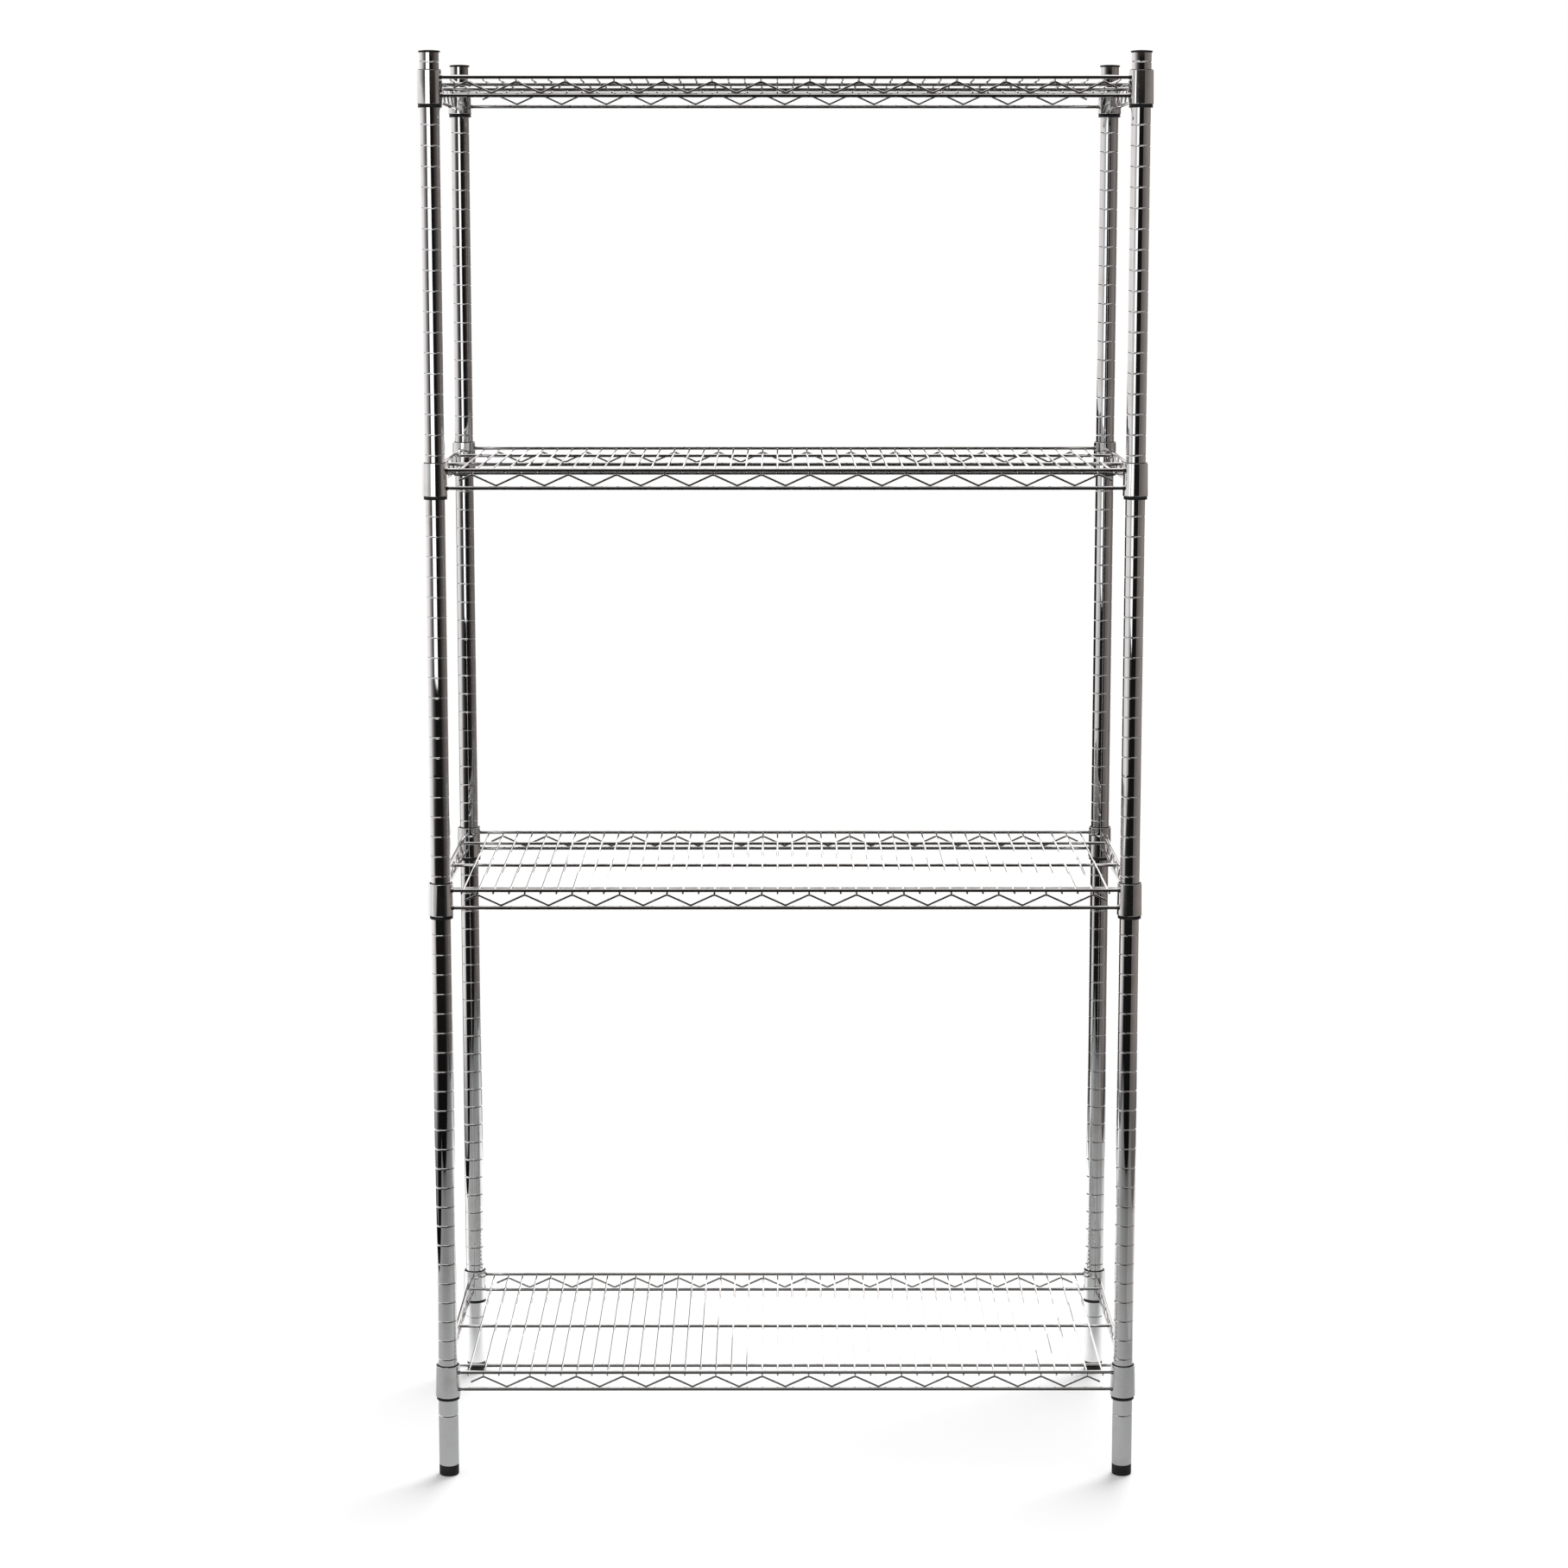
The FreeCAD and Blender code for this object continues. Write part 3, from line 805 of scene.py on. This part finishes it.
# %% [markdown]
# The welds. Wherever two wires cross, a spot weld has squeezed them together and left a small nugget. From a
# step away they only soften the crossings, but up close a wire deck without them looks like loose sticks.
# An icosphere of 20 faces, flattened a little, is plenty for something so small.

# %% Weld nuggets
NUGGET = Vector((1.25, 1.25, 0.7)) * MM
NUGGET_FACES = 20


def weld(shape, x, y, z):
    place = Matrix.LocRotScale(Vector((x, y, z)), None, NUGGET)
    bmesh.ops.create_icosphere(shape, subdivisions=1, radius=1.0, matrix=place)


for tier in TIERS:
    foot_z = tier_foot[tier]
    nuggets = bmesh.new()
    for x in deck_xs:
        for y in stringer_ys:
            weld(nuggets, x, y, foot_z + DECK - DECK_RADIUS)
        for y in (-RIM_Y, RIM_Y):
            weld(nuggets, x, y, foot_z + DECK + DECK_RADIUS)
    for y in (-RIM_Y, RIM_Y):
        for x in peak_xs:
            weld(nuggets, x, y, foot_z + DECK - DECK_RADIUS)
        for x in valley_xs:
            weld(nuggets, x, y, foot_z + BOTTOM_RIM + RIM_RADIUS)
    for x in (-RIM_X, RIM_X):
        for y in peak_ys + stringer_ys:
            weld(nuggets, x, y, foot_z + SIDE_TOP_RIM - RIM_RADIUS)
        for y in valley_ys:
            weld(nuggets, x, y, foot_z + SIDE_BOTTOM_RIM + RIM_RADIUS)
    piece = finish_piece(f"tier_{tier}_welds", nuggets, f"tier_{tier}", "chrome_wire", crease=80)
print("welds:", len(piece.data.polygons) // NUGGET_FACES, "nuggets on each shelf")

# %% [markdown]
# The joiners and nuts are shut away inside the tubes. Their solids are right as they are, so they keep their
# shape and only take the plain steel finish.

# %% Hidden hardware
for name in ("joiner_studs", "joiner_sockets", "foot_nuts"):
    mesh = frame["nodes"][name].data
    mesh.materials.clear()
    mesh.materials.append(finishes["plain_steel"])
print("hidden hardware: 3 nodes in plain steel")

# %% [markdown]
# The studio. Chrome has no colour of its own: it is black, white and grey because of what stands round it. So
# the room is drawn for the metal alone, as light by compass bearing: bright white behind, dark round the
# camera and grey on the sides. There are two rows of bands, at eye level and low down, because the lower half
# of a post mirrors what lies below the horizon. A colour ramp holds one row.

# %% Bands of light
# Bearings in degrees from the camera side, positive to the right, with the light that comes from there
LEFT_WALL = ((-180, 1.2), (-150, 1.05), (-115, 0.68), (-91, 0.6), (-84, 0.57))
RIGHT_WALL = ((28, 0.008), (37, 0.015), (48, 0.037), (60, 0.07), (75, 0.105), (85, 0.13), (104, 0.165),
              (136, 0.22), (142, 1.2), (180, 1.2))
AT_EYE_LEVEL = (*LEFT_WALL, (-73, 0.4), (-60, 0.23), (-52, 0.1), (-45, 0.06), (-34, 0.04), (-28, 0.008),
                *RIGHT_WALL)
LOW_DOWN = (*LEFT_WALL, (-76, 0.48), (-66, 0.12), (-59, 0.008), *RIGHT_WALL)
WARM_LEFT, WARM_RIGHT = 0.04, 0.12      # how much of the green is taken away
BLUE_LOSS = 1.4                         # times as much of the blue
BACK_WALL = 140                         # degrees, where the right wall ends


def fill_ramp(node, stops):
    """Sets a colour ramp to (position, colour) stops."""
    elements = node.color_ramp.elements
    while len(elements) < len(stops):
        elements.new(0.5)
    for element, (position, colour) in zip(elements, stops):
        element.position = position
        element.color = (*colour, 1)


def light_by_bearing(tree, bands):
    """A ramp of light round the room, a little warm, from (bearing, light) bands."""
    ramp = add_node(tree, "ValToRGB")
    stops = []
    for degrees, light in bands:
        warm = WARM_RIGHT if 0 < degrees < BACK_WALL else WARM_LEFT
        stops.append(((degrees + 180) / 360, (light, light * (1 - warm), light * (1 - BLUE_LOSS * warm))))
    fill_ramp(ramp, stops)
    return ramp


print("bands:", len(AT_EYE_LEVEL), "at eye level and", len(LOW_DOWN), "low down")

# %% [markdown]
# The world puts these bands round the scene. The bearing of a ray picks its place on the ramps. Soft steps by
# height lead up from a dark ground, over the low bands and those at eye level, to a brown shade and a white
# ceiling. What the camera sees directly is plain white, and diffuse surfaces get an even soft light. Light
# Path keeps the three apart.

# %% World
WHITE = (1, 1, 1, 1)
BROWN_SHADE = (0.045, 0.034, 0.029, 1)
DARK_GROUND = (0.004, 0.004, 0.004, 1)
EVEN_LIGHT = (0.62, 0.62, 0.62, 1)
# Heights of the view in degrees, between which one gives way to the next
GROUND_TO_LOW = -15.3, -12.1
LOW_TO_EYE_LEVEL = -11, -7.5
EYE_LEVEL_TO_SHADE = 2, 6
SHADE_TO_CEILING = 60, 68


def step_by_height(tree, low, high):
    """A soft step between two heights of the view, in degrees."""
    return add_node(tree, "MapRange", {"interpolation_type": "SMOOTHSTEP"},
                    From_Min=math.sin(math.radians(low)), From_Max=math.sin(math.radians(high)))


def make_studio():
    world = bpy.data.worlds.new("studio")
    scene.world = world
    world.use_nodes = True
    tree = world.node_tree
    background = tree.nodes["Background"]
    place = add_node(tree, "TexCoord")
    way = add_node(tree, "SeparateXYZ")
    forward = add_node(tree, "Math", {"operation": "MULTIPLY"})
    forward.inputs[1].default_value = -1.0
    bearing = add_node(tree, "Math", {"operation": "ARCTAN2"})
    turn = add_node(tree, "MapRange", From_Min=-math.pi, From_Max=math.pi)
    eye_level = light_by_bearing(tree, AT_EYE_LEVEL)
    low_down = light_by_bearing(tree, LOW_DOWN)
    lower = step_by_height(tree, *LOW_TO_EYE_LEVEL)
    upper = step_by_height(tree, *EYE_LEVEL_TO_SHADE)
    overhead = step_by_height(tree, *SHADE_TO_CEILING)
    level = step_by_height(tree, *GROUND_TO_LOW)
    walls = add_mix(tree)
    shade = add_mix(tree, "LIGHTEN", B=BROWN_SHADE)
    ceiling = add_mix(tree, B=WHITE)
    ground = add_mix(tree, A=DARK_GROUND)
    metal = add_mix(tree, A=EVEN_LIGHT)
    seen = add_mix(tree, B=WHITE)
    rays = add_node(tree, "LightPath")
    connect(
        tree,
        (place, "Generated", way, "Vector"),
        (way, "Y", forward, 0),
        (way, "X", bearing, 0),
        (forward, "Value", bearing, 1),
        (bearing, "Value", turn, "Value"),
        (turn, "Result", eye_level, "Fac"),
        (turn, "Result", low_down, "Fac"),
        (way, "Z", lower, "Value"),
        (way, "Z", upper, "Value"),
        (way, "Z", overhead, "Value"),
        (way, "Z", level, "Value"),
        (lower, "Result", walls, "Factor"),
        (low_down, "Color", walls, "A"),
        (eye_level, "Color", walls, "B"),
        (upper, "Result", shade, "Factor"),
        (walls, "Result", shade, "A"),
        (overhead, "Result", ceiling, "Factor"),
        (shade, "Result", ceiling, "A"),
        (level, "Result", ground, "Factor"),
        (ceiling, "Result", ground, "B"),
        (rays, "Is Glossy Ray", metal, "Factor"),
        (ground, "Result", metal, "B"),
        (rays, "Is Camera Ray", seen, "Factor"),
        (metal, "Result", seen, "A"),
        (seen, "Result", background, "Color"),
    )


make_studio()
print("world:", scene.world.name, "with", len(scene.world.node_tree.nodes), "nodes")

# %% [markdown]
# The floor is a white paper sheet of limited size. Metal sees on it a painted glow, not lit paper: the low
# parts of the posts mirror it at a slant and turn plain grey, painted dimmer to the right, and where it ends
# the dark ground begins. Wires that look steeply down on it see it painted dark, which keeps their undersides
# black. To the camera its white is topped up to that of the background, so its edge can't be seen, but the
# shadows of the feet stay.

# %% Floor
FLOOR_LEFT, FLOOR_RIGHT, FLOOR_FRONT, FLOOR_REAR = -1.35, 1.7, -1.7, 1.3
FLOOR_DEPTH = FLOOR_REAR - FLOOR_FRONT
# Distance behind the shelf's middle, with the light that metal sees there
FLOOR_LIGHT = ((-1.7, 0.10), (-1.5, 0.20), (-1.1, 0.27), (-0.4, 0.43), (0.0, 0.46), (0.25, 1.15))
PAPER_WHITE = (0.8, 0.8, 0.8, 1)
TOP_UP = 0.14


def make_paper():
    finish, tree, shader, place = new_finish("white_paper")
    tree.nodes.remove(shader)
    paper = add_node(tree, "BsdfDiffuse", Color=PAPER_WHITE)
    top_up = add_node(tree, "Emission", Strength=TOP_UP)
    # Painted glow: to metal the floor is this emission, not paper lit by the lamps
    painted_glow_in_metal = add_node(tree, "Emission")
    facing = add_node(tree, "LayerWeight", Blend=0.5)
    # Painted sheen and shade: the glow is a grey sheen seen at a slant, and is painted dark seen steeply
    slant = add_node(tree, "MapRange", {"interpolation_type": "SMOOTHSTEP"},
                     From_Min=0.50, From_Max=0.60, To_Min=0.01)
    way = add_node(tree, "SeparateXYZ")
    reach = add_node(tree, "MapRange", From_Min=FLOOR_FRONT, From_Max=FLOOR_REAR)
    # Painted shade: the glow is painted dimmer towards the right
    right = add_node(tree, "MapRange", From_Min=0.3, From_Max=1.5, To_Min=1.0, To_Max=0.45)
    strength = add_node(tree, "Math", {"operation": "MULTIPLY"})
    # Painted light: the glow's brightness by distance, from FLOOR_LIGHT
    depth = add_node(tree, "ValToRGB")
    fill_ramp(depth, [((y - FLOOR_FRONT) / FLOOR_DEPTH, (light, light, light)) for y, light in FLOOR_LIGHT])
    both = add_node(tree, "AddShader")
    for_camera = add_node(tree, "MixShader")
    for_metal = add_node(tree, "MixShader")
    rays = add_node(tree, "LightPath")
    connect(
        tree,
        (facing, "Facing", slant, "Value"),
        (place, "Object", way, "Vector"),
        (way, "X", right, "Value"),
        (slant, "Result", strength, 0),
        (right, "Result", strength, 1),
        (strength, "Value", painted_glow_in_metal, "Strength"),
        (way, "Y", reach, "Value"),
        (reach, "Result", depth, "Fac"),
        (depth, "Color", painted_glow_in_metal, "Color"),
        (paper, 0, both, 0),
        (top_up, 0, both, 1),
        (rays, "Is Camera Ray", for_camera, 0),
        (paper, 0, for_camera, 1),
        (both, 0, for_camera, 2),
        (rays, "Is Glossy Ray", for_metal, 0),
        (for_camera, 0, for_metal, 1),
        (painted_glow_in_metal, 0, for_metal, 2),
        (for_metal, 0, tree.nodes["Material Output"], "Surface"),
    )
    return finish


def stage_sheet(name, corner, along, up, finish):
    """A flat stage sheet from a corner and two edges."""
    sheet = bmesh.new()
    bmesh.ops.create_grid(sheet, x_segments=1, y_segments=1, size=0.5)
    middle = corner + (along + up) / 2
    turned = Matrix((along, up, along.cross(up))).transposed().to_4x4()
    bmesh.ops.transform(sheet, verts=sheet.verts[:], matrix=Matrix.Translation(middle) @ turned)
    piece = make_object(name, sheet, finish)
    piece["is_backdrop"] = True
    return piece


floor = stage_sheet("floor", Vector((FLOOR_LEFT, FLOOR_FRONT, 0)), Vector((FLOOR_RIGHT - FLOOR_LEFT, 0, 0)),
                    Vector((0, FLOOR_DEPTH, 0)), make_paper())
print("floor:", round(floor.dimensions.x, 2), "by", round(floor.dimensions.y, 2), "m")

# %% [markdown]
# A black flag stands behind on the left. White wires before a white wall would vanish, so photographers put
# something dark just out of the picture: it draws a thin grey line down one edge of each deck wire.

# %% Flag
FLAG_NEAR, FLAG_FAR, FLAG_TOP = Vector((-0.62, 0.4, 0)), Vector((-0.80, 3.0, 0)), 1.3


def make_cloth():
    finish, tree, shader, place = new_finish("black_cloth")
    weave = add_node(tree, "TexNoise", Scale=60.0)
    shade = add_node(tree, "MapRange", To_Min=0.01, To_Max=0.03)
    shader.inputs["Roughness"].default_value = 1.0
    shader.inputs["Specular IOR Level"].default_value = 0.0
    connect(
        tree,
        (place, "Object", weave, "Vector"),
        (weave, "Fac", shade, "Value"),
        (shade, "Result", shader, "Base Color"),
    )
    return finish


flag = stage_sheet("black_flag", FLAG_NEAR, FLAG_FAR - FLAG_NEAR, UP * FLAG_TOP, make_cloth())
flag.visible_camera = flag.visible_shadow = flag.visible_diffuse = False
print("flag:", FLAG_TOP, "m high")

# %% [markdown]
# The lamps. Light linking shows each panel only to the pieces it is meant for: on the others it would end in
# the middle of a shelf. Two white panels in front on the left make the bright strips down the posts, a near
# one for the left posts and a far one for the right. They end at half height, so the strips do too, and the
# near one leaves out the lower tubes, where only the grooves would catch it. Grey panels stand for the walls
# beside the posts. Two reflectors lie on the floor, and their narrow spread shows them only to metal that
# looks steeply down, as in a view from above. The front panel is for the wires that run from front to back:
# seen from behind, they would mirror only the dark.

# %% Lamp panels
def add_panel(name, mirrors, corner, along, up, light, colour=(1, 1, 1), spread=180):
    """A lamp panel from a corner and two edges, that only the pieces of one collection mirror."""
    lamp = bpy.data.lights.new(name, "AREA")
    lamp.shape = "RECTANGLE"
    lamp.size = along.length
    lamp.size_y = up.length
    lamp.energy = light * math.pi * lamp.size * lamp.size_y
    lamp.color = colour
    lamp.spread = math.radians(spread)
    panel = bpy.data.objects.new(name, lamp)
    panel.location = corner + (along + up) / 2
    across, rise = along.normalized(), up.normalized()
    panel.rotation_euler = Matrix((across, rise, across.cross(rise))).transposed().to_euler()
    panel.visible_camera = False
    panel.light_linking.receiver_collection = mirrors
    scene.collection.objects.link(panel)
    return panel


posts = bpy.data.collections.new("posts_and_sleeves")
left_posts = bpy.data.collections.new("left_posts_and_sleeves")
right_posts = bpy.data.collections.new("right_posts_and_sleeves")
depth_wires = bpy.data.collections.new("front_to_back_wires")
for piece in scene.objects:
    if piece.name.startswith("tube_") or piece.name.endswith("_sleeves") and "corner" not in piece.name:
        posts.objects.link(piece)
        if "right" not in piece.name and not piece.name.endswith("_lower"):
            left_posts.objects.link(piece)
        if "left" not in piece.name:
            right_posts.objects.link(piece)
    elif piece.name.endswith(("_deck", "_left_edge", "_right_edge")):
        depth_wires.objects.link(piece)
floor_width, floor_depth = Vector((2.3, 0, 0)), Vector((0, -5, 0))
# Each with the pieces that mirror it, a corner, its two edges and its light
panels = (
    add_panel("left_strip", left_posts, Vector((-0.88, -0.86, 0.95)), Vector((0.49, 0, 0)), UP, 1.3),
    add_panel("right_strip", right_posts, Vector((-1.75, -2.4, 0.79)), Vector((1.33, 0, 0)), UP * 1.06, 1.2),
    add_panel("left_wall", posts, Vector((-1.6, 1.0, 0)), Vector((0, -1.25, 0)), UP * 2.3, 0.2),
    add_panel("far_left_wall", right_posts, Vector((-1.6, -0.25, 0.45)), Vector((0, -2, 0)), UP * 1.4, 0.35),
    add_panel("right_wall", right_posts, Vector((0.80, -0.93, 0)), Vector((0.35, 1.13, 0)), UP * 2.3, 0.12,
              colour=(1, 0.9, 0.85)),
    add_panel("left_reflector", posts, Vector((-2.6, 2.5, 0.005)), floor_width, floor_depth, 0.8, spread=130),
    add_panel("right_reflector", posts, Vector((0.3, 2.5, 0.005)), floor_width, floor_depth, 0.3, spread=130),
    add_panel("front_panel", depth_wires, Vector((-3.2, -2.2, 1.2)), Vector((6.4, 0, 0)), UP * 2.4, 0.5),
)
print("panels:", ", ".join(f"{p.name} {p.data.energy:.2f} W" for p in panels))

# %% [markdown]
# A soft sun behind on the right gives the feet their shadows. It is kept out of the reflections, and only the
# feet and the lower tubes block it, so the shelves leave the floor white.

# %% Sun
TO_THE_SUN = Vector((0.5, 1.0, 1.7))
feet = bpy.data.collections.new("feet_and_lower_tubes")
for corner in CORNERS:
    feet.objects.link(bpy.data.objects["foot_" + corner])
    feet.objects.link(bpy.data.objects[f"tube_{corner}_lower"])
sun_lamp = bpy.data.lights.new("shadow_sun", "SUN")
sun_lamp.angle = math.radians(30)
sun_lamp.energy = 2.2
sun = bpy.data.objects.new("shadow_sun", sun_lamp)
sun.location = (0.8, 1.6, 2.7)
sun.rotation_euler = TO_THE_SUN.to_track_quat("Z", "Y").to_euler()
sun.visible_camera = False
sun.visible_glossy = False
sun.light_linking.blocker_collection = feet
scene.collection.objects.link(sun)

# %% [markdown]
# The camera stands where the photographer stood: at eye height, a long lens, almost square to the front.

# %% Camera
LOOKS_DOWN, TURNED = math.radians(8.343), math.radians(-0.107)
lens = bpy.data.cameras.new("camera")
lens.lens = 81.0
lens.shift_y = -0.03
camera = bpy.data.objects.new("camera", lens)
camera.location = (-0.0101, -4.6195, 1.6166)
camera.rotation_euler = (math.pi / 2 - LOOKS_DOWN, 0, TURNED)
scene.collection.objects.link(camera)
scene.camera = camera
scene.view_settings.view_transform = "Standard"
print("camera:", tuple(round(c, 3) for c in camera.location), lens.lens, "mm")

# %% [markdown]
# Last, the size. Dressing must not change the dimensions, so the box of the solids and the box of the dressed
# model are written side by side.

# %% Compare the sizes and finish
now_low, now_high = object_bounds()
for name, size in (("solids", cad_high - cad_low), ("dressed model", now_high - now_low)):
    print("size of the", name + ":", [round(c, 4) for c in size])
